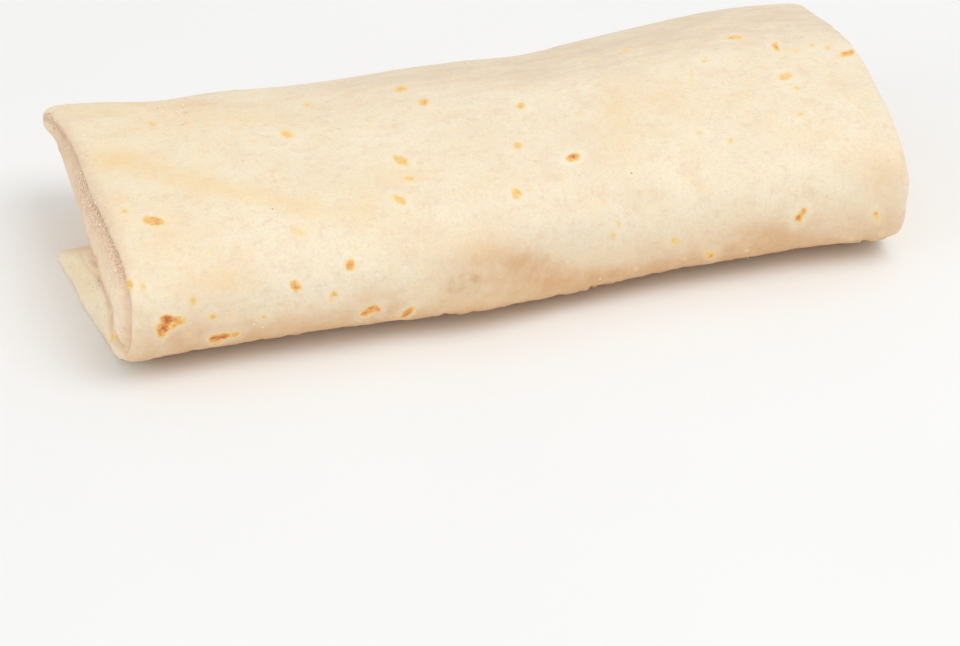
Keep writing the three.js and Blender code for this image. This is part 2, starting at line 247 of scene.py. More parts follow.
def angles_at(x):
    """The columns' angles at station x (one, or one for each column), following the free edge."""
    home = np.where(BEHIND, MIDDLE_ANGLES[SEAM_COLUMN], MIDDLE_ANGLES[SEAM_COLUMN - 1])
    past = np.where(BEHIND, EDGE_SLOPE, 0.0)
    away = (MIDDLE_ANGLES - home) / SEAM_PULL
    return MIDDLE_ANGLES + (seam_angle(x, past) - seam_angle(0.0, past)) * soft(away)


def end_loop(end, step):
    """One loop of an end, `step` along the way in from the outside (0) to the slit (LAST)."""
    nominal = end["side"] * HALF_LENGTH
    angle = np.degrees(angles_at(nominal))
    ahead = through(SEAM, nominal) - outside(nominal, np.radians(angle), BEHIND)[0]
    corner = CORNER * soft(ahead / CORNER_REACH) * (angle > 180)
    rim = np.where(BEHIND, through(end["behind"], angle), through(end["rim"], angle) - corner)
    tucked = smoothstep(TUCK_FROM, TUCK_TO, angle)
    own = through(end["band"], angle)
    band = np.where(BEHIND, lerp(own, rim, tucked), own)
    banded = np.where(BEHIND, tucked, 1 - smoothstep(LIP_FROM, LIP_TO, angle))

    def along(profile):
        """Reach along the roll, and way in to the slit, on one of the profiles."""
        offset, inset, share, kept = (
            through(numbered(profile), step, column) for column in (OFFSET, INSET, SHARE, KEPT)
        )
        share = np.clip(share, 0, 1)
        shaped = 1.0 if share > 0.01 else smoothstep(-END_DEPTH, -2, offset)
        return lerp(rim, band, share) * shaped + offset, max(inset, 0), kept

    other = along(LIP_PROFILE), along(TUCK_PROFILE)
    reach, way, kept = (
        lerp(np.where(BEHIND, tuck, lip), full, banded)
        for lip, tuck, full in zip(*other, along(BAND_PROFILE))
    )
    x = end["side"] * (HALF_LENGTH + reach)
    turn = angles_at(x)
    y, z = outside(x, turn, BEHIND)
    under = np.where(BEHIND, through(TUCK_SLIT, y), through(LIP_SLIT, y))
    middle = lerp(np.clip(y, -SLIT_HALF, SLIT_HALF), under, smoothstep(0, 0.7, -np.sin(turn)))
    height = through(SLIT_HEIGHT, middle)
    whole = np.hypot(y - middle, z - height)
    near = soft((y - through(SEAM, x)) / THIN_REACH)
    thin = 1 - THIN_NEAR_EDGE * near * (1 - smoothstep(2, 6, way))
    way = np.where(BEHIND, way * thin, way)
    part = np.minimum(way, whole - kept) / whole
    y, z = lerp(y, middle, part), lerp(z, height, part)
    across, up, size, stands = end["nub"]
    x = x + end["side"] * stands * np.exp(-(((y - across) / size) ** 2) - ((z - up) / size) ** 2)
    return np.stack([x, y, z], -1), banded


def numbered(profile):
    """The profile's points with their number, which is the step, as first value."""
    return [(i, *point) for i, point in enumerate(profile)]


def profile_steps(count):
    """Steps along the end's profile that lie evenly along its line."""
    fine = np.linspace(0, LAST, PROFILE_SAMPLES)
    offset = through(numbered(BAND_PROFILE), fine, OFFSET)
    inset = np.minimum(through(numbered(BAND_PROFILE), fine, INSET), CORE_HEIGHT)
    lengths = np.concatenate([[0], np.cumsum(np.hypot(np.diff(offset), np.diff(inset)))])
    return np.interp(np.linspace(0, lengths[-1], count), lengths, fine)


def roll_grid():
    """The whole surface as loops by columns, with what each point is: step in, side, banded."""
    steps = profile_steps(END_LOOPS)
    start = HALF_LENGTH - END_DEPTH
    stations = np.linspace(-start, start, MIDDLE_LOOPS + 2)[1:-1]
    loops, depth, side, banded = [], [], [], []
    for end, order in ((LEFT_END, steps[::-1]), (None, stations), (RIGHT_END, steps)):
        for at in order:
            if end:
                points, is_banded = end_loop(end, at)
            else:
                y, z = outside(at, angles_at(at), BEHIND)
                points, is_banded = np.stack([np.full(COLUMNS, at), y, z], -1), np.ones(COLUMNS)
            loops.append(points)
            banded.append(is_banded)
            depth.append(np.full(COLUMNS, at if end else 0.0))
            side.append(np.full(COLUMNS, end["side"] if end else 0))
    return tuple(split_edge(np.array(a)) for a in (loops, depth, side, banded))


def split_edge(grid):
    """Adds EDGE_COLUMNS columns across the step at the free edge."""
    before, after = grid[:, SEAM_COLUMN - 1], grid[:, SEAM_COLUMN]
    added = [lerp(before, after, k / (EDGE_COLUMNS + 1)) for k in range(1, EDGE_COLUMNS + 1)]
    return np.concatenate([grid[:, :SEAM_COLUMN], np.stack(added, 1), grid[:, SEAM_COLUMN:]], 1)


def grid_normals(points):
    """Outward unit normals of the grid's points."""
    along = np.gradient(points, axis=0)
    wrapped = np.concatenate([points[:, -1:], points, points[:, :1]], 1)
    round_ = (wrapped[:, 2:] - wrapped[:, :-2]) / 2
    normal = np.cross(round_, along)
    return normal / np.maximum(np.linalg.norm(normal, axis=-1, keepdims=True), 1e-9)


# ---- noise over points in space ----
LATTICE = 8192  # random values, a power of two
SCATTER = (73856093, 19349663, 83492791)  # primes that spread the lattice's cells over them
FROM_ORIGIN = 1000.0  # cells, so that all are counted from a corner off the roll


def lumps(points, size, seed):
    """Smooth noise of -1 to 1 with lumps of this size, or of three sizes along X, Y and Z."""
    values = np.random.default_rng(SEED + seed).uniform(-1, 1, LATTICE)
    at = points / np.asarray(size, float) + FROM_ORIGIN
    cell = np.floor(at).astype(np.int64)
    f = at - cell
    f = f * f * f * (f * (6 * f - 15) + 10)
    total = np.zeros(points.shape[:-1])
    for corner in np.ndindex(2, 2, 2):
        i = cell + np.array(corner)
        key = np.bitwise_xor.reduce(i * SCATTER, -1)
        weight = np.prod(np.where(np.array(corner) == 1, f, 1 - f), -1)
        total += weight * values[key & (LATTICE - 1)]
    return total


def layered(points, layers):
    """Sum of layers of lumps, each (height, size, seed)."""
    return sum(height * lumps(points, size, seed) for height, size, seed in layers)


# ---- the camera's own maths, to find where a pixel falls on the surface ----
BACKWARD = np.array([
    math.sin(AZIMUTH) * math.cos(ELEVATION),
    -math.cos(AZIMUTH) * math.cos(ELEVATION),
    math.sin(ELEVATION),
])
RIGHT = np.array([math.cos(AZIMUTH), math.sin(AZIMUTH), 0.0])
UP = np.cross(BACKWARD, RIGHT)
PIXELS = LENS / SENSOR * PICTURE[0]


def picture_place(points):
    """Where points show in the picture, in pixels from its top left corner."""
    away = points - CAMERA_AT
    depth = -(away @ BACKWARD)
    return (
        PICTURE[0] / 2 + PIXELS * (away @ RIGHT) / depth,
        PICTURE[1] / 2 - PIXELS * (away @ UP) / depth,
    )


# ---- relief of the sheet, in millimetres along the normal ----
# Layers of lumps: height, size (or three sizes along X, Y and Z), seed.
SHEET_LUMPS = [(0.22, 17, 1), (0.08, 6, 2), (0.055, 2.6, 3), (0.035, 1.2, 4)]
BACK_LUMPS = [(0.02, (14, 1.6, 1.6), 7)]
ROUGH_LUMPS = [(0.06, 1.3, 8)]
RIM_LUMPS = [(0.12, 4, 5), (0.03, 1.8, 6)]
CRUMBS = [(1.0, (1.1, 3, 3), 9), (0.5, (0.7, 2, 2), 14)]
CRUMBS_AT, CRUMBS_REACH = 2.2, 1.8  # above the floor, where the lower edge is crumbly
CRUMBS_TOP = 0.3  # how far a crumb stands out at most
CRUMBLY_SIZE, CRUMBLY_SEED = 14, 13  # stretches of the lower edge with many crumbs and with few
BLISTER_STEEPNESS = 1.2

# The wrinkled and greyer part at the top of the back: the degrees round the core over which it
# sets in and fades out, and the stations over which it sets in.
BACK_BEGINS, BACK_ENDS, BACK_STATIONS = (5, 40), (47, 92), (-60, 20)

# ---- places on the ends, as steps of BAND_PROFILE ----
RIM_STEPS = (3, 5)  # where the rim's own lumps set in
OUTSIDE_STEPS = 2.5  # the outside of the roll ends here
BAND_STEPS = (5.6, 8)  # where the colour turns to that of the folded-in layers
WITHIN_STEPS = (5.8, 7.2)  # where frost sets in
CREASE_STEP, CREASE_WIDTH = 8.3, 1.0
RIME_STEP, RIME_WIDTH = 8.8, 1.6
SLIT_RIME_STEP, SLIT_RIME_WIDTH = 15.2, 1.5
SLIT_STEPS = (11, 14)  # where the slit is too narrow for relief and frost
LIP_SLIT_STEPS = (14, 16)  # the same on the lip, which lies open further in
LIP_STEPS = (1, 3)
FOOT_STEPS = (1, 5)  # where the painted shade along the lower edge ends at the right end

# ---- how toast marks and frost lie ----
MARK_EDGE = 3.4  # pixels over which a mark fades
HALO_AT, HALO_WIDTH = 4.0, 3.0  # pixels off a mark's outline where the painted highlight round it is brightest
FAR_OFF = 9  # given as the distance from a mark to what the picture doesn't show
UNSEEN_MARKS = 60
UNSEEN_SHAPE = (1.3, 1.0, 1.0)  # half sizes of a random mark, in millimetres
LOW_HEIGHTS = (1, 10.5)  # above the floor, over which the painted shade along the lower edge fades
RIME_LUMPS, RIME_SEED = 7, 11
FROST_PATCHES, FROST_SEED = 2.2, 12
LEFT_END_FROM = 6 - HALF_LENGTH  # the left end has its stations before this
GRAINS = 600
GRAIN_SIZE = (0.09, 0.28)  # radius, smallest and largest
GRAIN_SHIFT, GRAIN_STANDS = 0.2, 0.3  # aside in millimetres, and out as a share of the radius
GRAINS_ABOVE = 0.3  # no grain lower than this over the floor
# How squarely a place faces the camera, -1 to 1: random marks only below, placed frost only above.
UNSEEN_BELOW, FROST_ABOVE = -0.25, 0.25

# ---- light ----
FLOOR_SIZE = 6  # metres
# Name, place and size in metres, power in watts.
LIGHTS = [("key", (0.35, -0.3, 0.95), 0.8, 3.9), ("fill", (-1.1, -0.35, 0.4), 1.0, 2.6)]
SKY_STRENGTH = 0.7


# ---- what the sheet shows, placed by pixel ----
# Toast marks: x, y, width, height, tilt in degrees (up to the right), depth of toasting 0 to 1.
MARKS = [
    (168, 318.5, 16, 8, -4, 0.8), (178, 320, 15, 9, 0, 0.55), (167, 321.5, 9, 6, 0, 0.95),
    (162, 330, 9, 15, -22, 0.75), (164, 326, 12, 9, 0, 0.8), (165, 329, 4, 9, -25, 1.0),
    (173.5, 325, 10, 5, 25, 0.7), (162, 338, 5, 9, 15, 0.25), (155, 327.5, 6, 7, 0, 0.3),
    (215, 337.5, 14, 7, 10, 0.75), (214.5, 338.5, 7, 3, 15, 1.0), (223.5, 335, 15, 6, 5, 0.85),
    (235, 333.5, 11, 5, 22, 0.6), (217, 342, 14, 3, 16, 0.45), (224, 336.5, 8, 2.5, 10, 1.0),
    (154, 221.6, 22, 9.5, -8, 0.52), (147, 220, 9, 8, 0, 0.5), (124, 211, 8, 5, 0, 0.4),
    (152.8, 125, 10, 7, -20, 0.35), (152, 143.6, 14, 4, -5, 0.2), (191.7, 125, 8, 5, 0, 0.25),
    (207, 126, 14, 4, -5, 0.25), (217, 129, 8, 3, 0, 0.15), (228, 119, 10, 4, 0, 0.2),
    (235, 130, 7, 5, 0, 0.25), (287, 134.4, 13, 8, -15, 0.4), (252.7, 141.8, 8, 7, 0, 0.2),
    (307, 104.5, 9, 6, 10, 0.35), (252.7, 93.7, 8, 5, 0, 0.3), (298, 232, 21, 6, -20, 0.25),
    (217.5, 241, 12, 3, 5, 0.3), (212, 250.5, 4, 7, 0, 0.3), (251.8, 251, 8, 6, 0, 0.25),
    (241.6, 262, 4, 4, 0, 0.25), (296, 286, 10, 13, 20, 0.5), (294, 284, 7, 7, 0, 0.85),
    (129.9, 285, 5, 14, 8, 0.55), (143, 287, 7, 13, 25, 0.32), (193, 301.5, 9, 12, -35, 0.36),
    (219.4, 305.5, 4, 4, 0, 0.3), (230.5, 314.7, 4, 5, 0, 0.4), (213, 316.6, 8, 6, 20, 0.5),
    (263.8, 317, 5, 5, 0, 0.45), (189.4, 333.8, 4, 5, 0, 0.5), (151, 311, 5, 5, 0, 0.2),
    (143.6, 321, 6, 8, 0, 0.15), (401.4, 89.2, 16, 6, 10, 0.45), (423.8, 102.3, 11, 8, 20, 0.48),
    (520.6, 106, 8, 8, 0, 0.5), (518, 145.7, 10, 8, 30, 0.5), (573, 158, 13, 7.5, 20, 0.75),
    (572.5, 158.5, 6, 3, 18, 1.0), (401, 159.5, 18, 9, -28, 0.42), (409, 178, 16, 6, 0, 0.32),
    (399, 199, 15, 8, -28, 0.45), (402.5, 201.5, 9, 3.5, -35, 0.65), (516.5, 194.5, 10, 12, 40, 0.45),
    (530.5, 189, 4, 4, 0, 0.3), (486.5, 180, 9, 4, 0, 0.2), (355.5, 159, 4, 9, 0, 0.2),
    (433, 188, 3, 8, 0, 0.15), (349.7, 264.6, 10, 12, -10, 0.6), (357, 249, 3, 20, -45, 0.25),
    (334, 293.6, 7, 6, 0, 0.55), (330.5, 299.5, 5, 8, -20, 0.38), (370.5, 309.5, 20, 7, 30, 0.55),
    (365, 311.5, 10, 4, 38, 0.95), (373, 306.3, 11, 3, 14, 0.9), (378, 309, 4, 4, 0, 0.9),
    (367, 316, 8, 4, 10, 0.25), (407.5, 312.5, 18, 6, 39, 0.65), (408, 313, 9, 3, 50, 0.95),
    (395, 317.6, 9, 2.5, 0, 0.55), (746, 250, 6, 4, 0, 0.3), (683, 258.7, 8, 4, 0, 0.25),
    (569, 243, 8, 5, 0, 0.15), (627, 257, 8, 4, 0, 0.15), (360, 321, 5, 2.5, 0, 0.45),
    (581, 113.5, 8, 6, 0, 0.2), (735, 37.5, 22, 5, 0, 0.35), (731.5, 37.8, 8, 2.5, 0, 0.7),
    (775.7, 47.3, 9, 4, -52, 0.7), (777, 44, 7, 6, 0, 0.35), (788, 49.5, 10, 3, -10, 0.35),
    (798, 50, 5, 4, 0, 0.4), (812, 45.5, 7, 4, 0, 0.4), (828, 48, 7, 4, 0, 0.5),
    (846.5, 54, 15, 6, 12, 0.6), (850.5, 52.3, 7, 4, 15, 0.8), (624.4, 50, 16, 4, 5, 0.3),
    (590, 59, 15, 5, 5, 0.2), (705, 59.6, 8, 6, 0, 0.3), (703.5, 61, 3, 3, 0, 0.6),
    (765, 68, 10, 7, 0, 0.2), (785, 76.5, 15, 8, 10, 0.4), (797, 88, 7, 7, 0, 0.35),
    (749, 83.5, 8, 5, 0, 0.2), (735, 58.5, 8, 5, 0, 0.2), (848, 98, 7, 5, 0, 0.25),
    (800, 115, 8, 6, 10, 0.4), (772, 116, 10, 8, 0, 0.15), (731, 140.5, 6, 7, -20, 0.4),
    (699, 132.7, 8, 6, 0, 0.3), (674, 187, 7, 6, 0, 0.2), (603, 202.7, 9, 5, 0, 0.3),
    (618.6, 224, 5, 10, 20, 0.3), (613.6, 235, 6, 8, 0, 0.35), (675.4, 241, 8, 8, 0, 0.55),
    (709.5, 254.5, 12, 9, 0, 0.42), (711, 254.4, 6, 3.5, 10, 0.7), (636, 268, 6, 5, 0, 0.3),
    (799.9, 214.3, 16, 7, 55, 0.5), (797.6, 217.5, 7, 6, 55, 0.85), (802.5, 210.5, 7, 5, 55, 0.8),
    (877, 219, 8, 14, 5, 0.28), (876, 213.5, 5, 4.5, 0, 0.75), (851, 239, 9, 5, 0, 0.25),
    (882, 234, 7, 4, 0, 0.22), (894, 197, 8, 9, 0, 0.15), (890, 147, 8, 4, 0, 0.25),
    (810, 181, 14, 5, 0, 0.15), (823, 184, 6, 4, 0, 0.25), (653.7, 204, 10, 5, 0, 0.15),
    (113, 335, 5, 20, -8, 0.36), (110, 312, 3, 14, -15, 0.2), (121, 342, 5, 6, 0, 0.25),
    (692, 74, 3, 12, 0, 0.35), (691.5, 81.5, 3, 3, 0, 0.5), (506, 90, 4, 4, 0, 0.2),
    (531, 94, 5, 4, 0, 0.2), (652, 205, 5, 5, 0, 0.2),
]

# Blisters, standing up under their marks: x, y, width, height, rise in millimetres.
BLISTERS = [
    (154.7, 222, 34, 20, 0.18), (168, 324, 42, 36, 0.22), (295.2, 284.6, 20, 22, 0.2),
    (349.4, 264.7, 20, 20, 0.2), (516, 194, 20, 20, 0.12), (572.6, 158.5, 26, 20, 0.15),
    (799.9, 214.3, 24, 24, 0.3), (876.6, 218.6, 18, 24, 0.2), (800, 115, 22, 20, 0.1),
    (369.8, 309, 36, 22, 0.35), (407.5, 312, 24, 18, 0.2), (710, 254, 22, 18, 0.2),
    (398.5, 199, 24, 18, 0.12), (520.6, 106, 18, 18, 0.1), (223, 337, 46, 18, 0.15),
    (475.5, 277, 15, 13, 0.2), (458, 285, 22, 18, 0.12),
]
# Hollows pressed in along a mark or a wrinkle, with painted shade: x, y, width, height, tilt, depth in
# millimetres.
HOLLOWS = [
    (366.5, 309.8, 13, 4.5, 38, 0.22), (374.5, 305.6, 10, 4, 8, 0.2), (475.5, 277, 7, 6, 0, 0.2),
    (450, 283, 5, 12, -15, 0.12), (458, 291.5, 16, 4, 5, 0.12), (471, 273, 8, 3, 20, 0.1),
    (799.9, 214.3, 13, 4, 55, 0.18), (164, 324, 12, 5, 52, 0.15), (171, 318, 14, 3, 8, 0.12),
    (792, 193, 18, 3, -42, 0.05), (834, 199, 32, 3, -14, 0.05), (826, 206, 26, 3, -12, 0.04),
    (812, 190, 22, 3, -20, 0.04), (223, 338, 24, 3, 16, 0.12), (407.5, 312.3, 14, 3, 39, 0.12),
    (450, 291, 8, 3, 40, 0.16), (462, 288, 12, 3, 10, 0.14), (476, 281, 9, 3, -5, 0.16),
    (462, 275, 5, 4, 0, 0.12),
]
# Spots of rough, crinkled skin: x, y, width, height.
ROUGH = [(475.5, 277, 13, 13), (457, 284, 22, 18), (872, 238, 36, 8), (683, 259, 12, 6)]

# Where grains of frost gather: x, y, width, height, tilt, how thickly.
FROST = [
    (103, 216, 52, 12, -66, 2.6), (99, 217, 12, 7, 0, 4), (121, 266, 42, 6, -69, 2),
    (119, 273, 8, 8, 0, 5), (100, 284, 12, 9, 0, 4), (95, 272, 7, 14, -20, 2), (80, 272, 20, 20, 0, 0.1),
    (184, 112, 10, 12, 0, 1.5), (158, 109, 16, 6, 0, 1), (334, 330, 7, 4, 0, 3), (486, 309, 7, 4, 0, 3),
    (55, 130, 8, 6, -40, 1.5), (601, 277, 5, 4, 0, 1.5), (684, 259, 14, 8, 0, 0.2),
    (262, 318, 30, 12, 0, 0.3),
]

NUB = (50, 121, 26, 20)  # where the crease is faint

# Thin creases, darkened with painted shade: width in pixels, depth in millimetres, and the points that
# they pass.
CREASES = [
    (4.5, 0.25, [(44, 118), (53, 122), (59, 129), (64, 137)]),
    (4.5, 0.3, [
        (95, 257), (97, 269), (101, 283), (107, 297), (111, 312), (112, 328), (117, 341), (123, 346),
    ]),
]

# Soft zones of tint, some of them painted light and shade: x, y, width, height, tilt, strength.
ZONES = {
    "yellow": [
        (128, 160, 80, 24, -12, 0.65), (205, 184, 100, 24, -14, 0.5), (300, 206, 110, 20, -12, 0.5),
        (100, 112, 70, 10, 0, 0.4), (186, 106, 130, 9, 0, 0.3), (618, 108, 34, 56, 15, 0.4),
        (640, 300, 200, 40, 8, 0.2), (84, 274, 44, 60, -20, 0.45), (620, 145, 40, 30, 0, 0.25),
        (100, 340, 20, 30, 0, 0.2), (205, 284, 50, 28, 0, 0.4), (390, 170, 50, 26, 0, 0.25),
        (240, 119, 90, 16, -3, 0.45), (150, 124, 90, 30, 0, 0.2), (168, 240, 50, 60, 0, 0.3),
        (230, 276, 30, 34, 0, 0.4), (416, 174, 50, 16, 0, 0.3), (366, 205, 30, 40, 0, 0.3),
        (118, 208, 30, 30, 0, 0.3), (670, 100, 60, 36, 0, 0.25), (880, 172, 30, 50, 0, 0.3),
        (520, 293, 140, 16, 12, 0.35), (180, 160, 260, 140, -5, 0.08), (485, 250, 40, 30, 0, 0.3),
        (150, 222, 40, 20, 0, 0.3), (100, 165, 30, 26, 0, 0.3), (300, 232, 30, 16, -20, 0.3),
    ],
    "pink": [
        (868, 172, 60, 60, 0, 0.25), (240, 262, 60, 40, 0, 0.2), (425, 232, 50, 20, 0, 0.2),
        (890, 205, 30, 60, 0, 0.4), (60, 130, 26, 30, 0, 0.3), (200, 290, 60, 40, 0, 0.2),
        (590, 160, 36, 60, 0, 0.3), (420, 176, 50, 20, 0, 0.2), (628, 86, 60, 24, 15, 0.3),
        (114, 226, 60, 14, -66, 0.3), (127, 270, 50, 10, -76, 0.3), (93, 185, 50, 12, -62, 0.3),
    ],
    # Paler patches of the sheet, and painted light on places in shade, such as the lip.
    "pale": [
        (315, 250, 150, 70, -8, 0.5), (548, 232, 110, 36, 10, 0.7), (800, 166, 130, 34, 12, 0.7),
        (450, 170, 120, 60, 0, 0.2), (200, 260, 80, 50, 0, 0.2), (90, 305, 34, 60, -30, 0.8),
        (118, 318, 16, 56, 0, 0.7), (50, 126, 16, 18, 0, 0.8), (80, 266, 50, 44, 0, 1),
        (536, 236, 70, 24, -40, 0.5), (592, 234, 50, 34, 10, 0.6), (622, 207, 40, 18, 35, 0.4),
        (452, 270, 44, 36, 0, 0.5), (850, 188, 90, 28, -20, 0.5), (732, 140, 46, 38, 0, 0.6),
        (172, 150, 34, 40, 0, 0.3), (240, 153, 44, 20, 0, 0.35), (154, 214, 24, 14, 0, 0.4),
        (230, 194, 26, 16, 0, 0.5), (318, 158, 50, 24, 0, 0.3), (212, 290, 60, 18, -12, 0.4),
        (262, 262, 30, 30, 0, 0.4), (150, 264, 26, 36, 40, 0.35), (112, 184, 26, 30, 0, 0.4),
        (575, 122, 40, 20, 0, 0.3), (855, 234, 60, 12, 5, 0.2), (490, 215, 80, 40, 0, 0.3),
        (122, 350, 44, 18, 0, 0.7), (880, 104, 32, 110, 18, 0.8), (462, 100, 50, 14, 5, 0.5),
        (542, 244, 50, 34, -40, 0.5), (455, 98, 90, 26, 8, 0.35), (795, 28, 90, 12, 5, 0.5),
        (165, 197, 50, 26, 0, 0.35), (722, 82, 56, 18, 0, 0.35), (600, 170, 520, 200, 8, 0.2),
    ],
    # Painted warm shade, mostly along the lower edge and in the dent on the front.
    "warm_shade": [
        (508, 265, 124, 60, -4, 0.62), (548, 276, 60, 22, 10, 0.3), (572, 282, 120, 26, 14, 0.4),
        (468, 288, 80, 40, 10, 0.25), (720, 258, 170, 24, 10, 0.45), (782, 231, 150, 30, 9, 0.6),
        (265, 330, 300, 36, 8, 0.5), (880, 222, 50, 30, 0, 0.4), (882, 172, 46, 54, 0, 0.2),
        (170, 334, 80, 34, 5, 0.35), (190, 104, 150, 9, 0, 0.2), (655, 248, 100, 22, 10, 0.35),
        (375, 304, 54, 36, 0, 0.45), (196, 328, 100, 40, 5, 0.12), (695, 262, 300, 18, 9.5, 0.4),
        (620, 274, 90, 14, 12, 0.3), (530, 262, 50, 22, -10, 0.35), (757, 233, 40, 26, 0, 0.25),
    ],
    # Painted shade on the rim beside the crease at the left end, and by the nub.
    "rim_shade": [
        (60, 124, 20, 14, -40, 0.1), (68, 146, 50, 22, -64, 0.38), (90, 184, 70, 22, -65, 0.25),
        (108, 226, 64, 12, -66, 0.35), (124, 274, 50, 10, -76, 0.2),
    ],
    "ashen": [
        (884, 112, 34, 110, 18, 0.12), (735, 150, 60, 34, 0, 0.15), (390, 79, 130, 10, 8, 0.35),
        (600, 48, 130, 14, 14, 0.35), (718, 14, 60, 10, 8, 0.3), (620, 160, 500, 180, 8, 0.07),
        (640, 195, 60, 24, 0, 0.15), (560, 230, 120, 40, 0, 0.12),
    ],
    "icy": [
        (96, 214, 66, 20, -66, 1), (117, 262, 60, 14, -69, 1), (101, 283, 14, 10, 0, 0.5),
        (95, 258, 40, 8, -72, 0.4), (53, 131, 9, 7, -40, 0.3), (80, 185, 40, 12, -66, 0.6),
    ],
}


def ellipse(px, py, x, y, width, height, tilt=0.0):
    """Distance of pixels from a mark's middle, 1 at its outline."""
    turn = math.radians(tilt)
    dx, dy = px - x, py - y
    along = dx * math.cos(turn) - dy * math.sin(turn)
    across = dx * math.sin(turn) + dy * math.cos(turn)
    return np.hypot(along / (width / 2), across / (height / 2))


def off_path(px, py, points):
    """Distance of pixels from a path through points."""
    nearest = np.full(px.shape, np.inf)
    for (x0, y0), (x1, y1) in zip(points, points[1:]):
        dx, dy = x1 - x0, y1 - y0
        f = np.clip(((px - x0) * dx + (py - y0) * dy) / (dx * dx + dy * dy), 0, 1)
        nearest = np.minimum(nearest, np.hypot(px - x0 - f * dx, py - y0 - f * dy))
    return nearest


def add_object(name, data):
    """An object of the scene, with this data."""
    thing = bpy.data.objects.new(name, data)
    bpy.context.scene.collection.objects.link(thing)
    return thing


def mesh_of(name, points, faces, material):
    """A piece with its mesh, from points in millimetres."""
    mesh = bpy.data.meshes.new(name)
    mesh.from_pydata((points * MM).tolist(), [], faces)
    mesh.update()
    mesh.polygons.foreach_set("use_smooth", [True] * len(mesh.polygons))
    mesh.materials.append(material)
    return add_object(name, mesh)


def attribute(mesh, name, values):
    """Hands one value for each of the mesh's points to its material."""
    layer = mesh.attributes.new(name, "FLOAT", "POINT")
    layer.data.foreach_set("value", np.asarray(values, np.float32).ravel())


def grid_faces(loops, columns):
    """Quads of the closed grid, and the triangles that zip its two last loops across the slit."""
    j, i = np.meshgrid(np.arange(loops - 1), np.arange(columns), indexing="ij")
    nxt = (i + 1) % columns
    low, high = j * columns, (j + 1) * columns
    faces = np.stack([low + i, low + nxt, high + nxt, high + i], -1).reshape(-1, 4).tolist()
    for base, turn in ((0, True), ((loops - 1) * columns, False)):
        for k in range(columns // 2):
            a, b, c, d = (base + n % columns for n in (k, k + 1, -k - 1, -k))
            for corner in ((a, b, d), (b, c, d)):
                if len(set(corner)) == 3:
                    faces.append(corner[::-1] if turn else corner)
    return faces


# ---- material helpers ----
class Nodes:
    """A material's nodes, made by short calls."""

    COLOUR_MIX = (0, 6, 7)  # a mix node's sockets for the share and for two colours

    def __init__(self, name):
        self.material = bpy.data.materials.new(name)
        self.material.use_nodes = True
        self.tree = self.material.node_tree
        self.shader = self.tree.nodes["Principled BSDF"]
        self.place = self.add("ShaderNodeTexCoord").outputs["Object"]

    def add(self, kind, **inputs):
        node = self.tree.nodes.new(kind)
        for name, value in inputs.items():
            self.put(node.inputs[name], value)
        return node

    def put(self, socket, value):
        if isinstance(value, bpy.types.NodeSocket):
            self.tree.links.new(value, socket)
        else:
            socket.default_value = value

    def math(self, operation, *values, clamp=False):
        node = self.add("ShaderNodeMath")
        node.operation, node.use_clamp = operation, clamp
        for socket, value in zip(node.inputs, values):
            self.put(socket, value)
        return node.outputs[0]

    def noise(self, size, detail=2.0, roughness=0.5, stretch=None):
        """Noise of 0 to 1, with lumps of about this many millimetres."""
        place = self.place
        if stretch:
            place = self.add("ShaderNodeMapping", Vector=place, Scale=stretch).outputs[0]
        node = self.add(
            "ShaderNodeTexNoise", Vector=place, Scale=1 / (size * MM), Detail=detail, Roughness=roughness
        )
        return node.outputs[0]

    def ramp(self, value, low, high, to_low=0.0, to_high=1.0):
        """A smooth step from one value to another, where the input goes from low to high."""
        node = self.add("ShaderNodeMapRange")
        node.interpolation_type = "SMOOTHSTEP"
        for socket, v in zip(node.inputs, (value, low, high, to_low, to_high)):
            self.put(socket, v)
        return node.outputs[0]

    def mix(self, share, first, second):
        """The first colour, with this share of the second over it."""
        node = self.add("ShaderNodeMix")
        node.data_type = "RGBA"
        for socket, value in zip((node.inputs[i] for i in self.COLOUR_MIX), (share, first, second)):
            self.put(socket, value)
        return node.outputs[2]

    def attribute(self, name):
        node = self.add("ShaderNodeAttribute")
        node.attribute_name = name
        return node.outputs["Fac"]

    def colours(self, value, stops):
        """The colour at this value on a row of colours, each (position, colour)."""
        node = self.add("ShaderNodeValToRGB")
        ramp = node.color_ramp
        while len(ramp.elements) < len(stops):
            ramp.elements.new(0.5)
        for element, (at, colour) in zip(ramp.elements, stops):
            element.position, element.color = at, colour
        self.put(node.inputs[0], value)
        return node.outputs[0]

    def finish(self, inputs):
        """Sets the shader's inputs, by name, and gives the material."""
        for name, value in inputs.items():
            self.put(self.shader.inputs[name], value)
        return self.material


# ---- colours, 0 to 255 as they show on a screen ----
# Some are painted shade and highlight, for the lower edge, dents, rim, creases, grooves, folds and
# marks.
SHADES = {
    "cream": (244, 226, 194), "white": (248, 237, 211), "pink": (236, 209, 178),
    "yellow": (246, 216, 160), "warm_shade": (223, 179, 132), "ashen": (218, 199, 176),
    "band": (231, 202, 170), "band light": (242, 217, 187),
    "mottling": (232, 206, 176), "fleck": (252, 241, 216),
    "lower edge": (220, 167, 108), "grain": (226, 190, 152), "dot": (226, 196, 164),
    "rough": (216, 174, 124), "fold": (212, 164, 116), "halo": (253, 245, 228),
    "rim_shade": (206, 172, 144), "crease": (200, 154, 126), "groove": (196, 144, 106),
    "pit": (206, 158, 130), "ice": (250, 234, 212), "speck": (150, 108, 78),
}
# From the outline of a toast mark to its middle: depth of toasting, colour.
TOASTING = [
    (0.0, (248, 231, 188)), (0.25, (248, 220, 158)), (0.5, (243, 196, 120)),
    (0.72, (232, 157, 92)), (1.0, (196, 116, 64)),
]
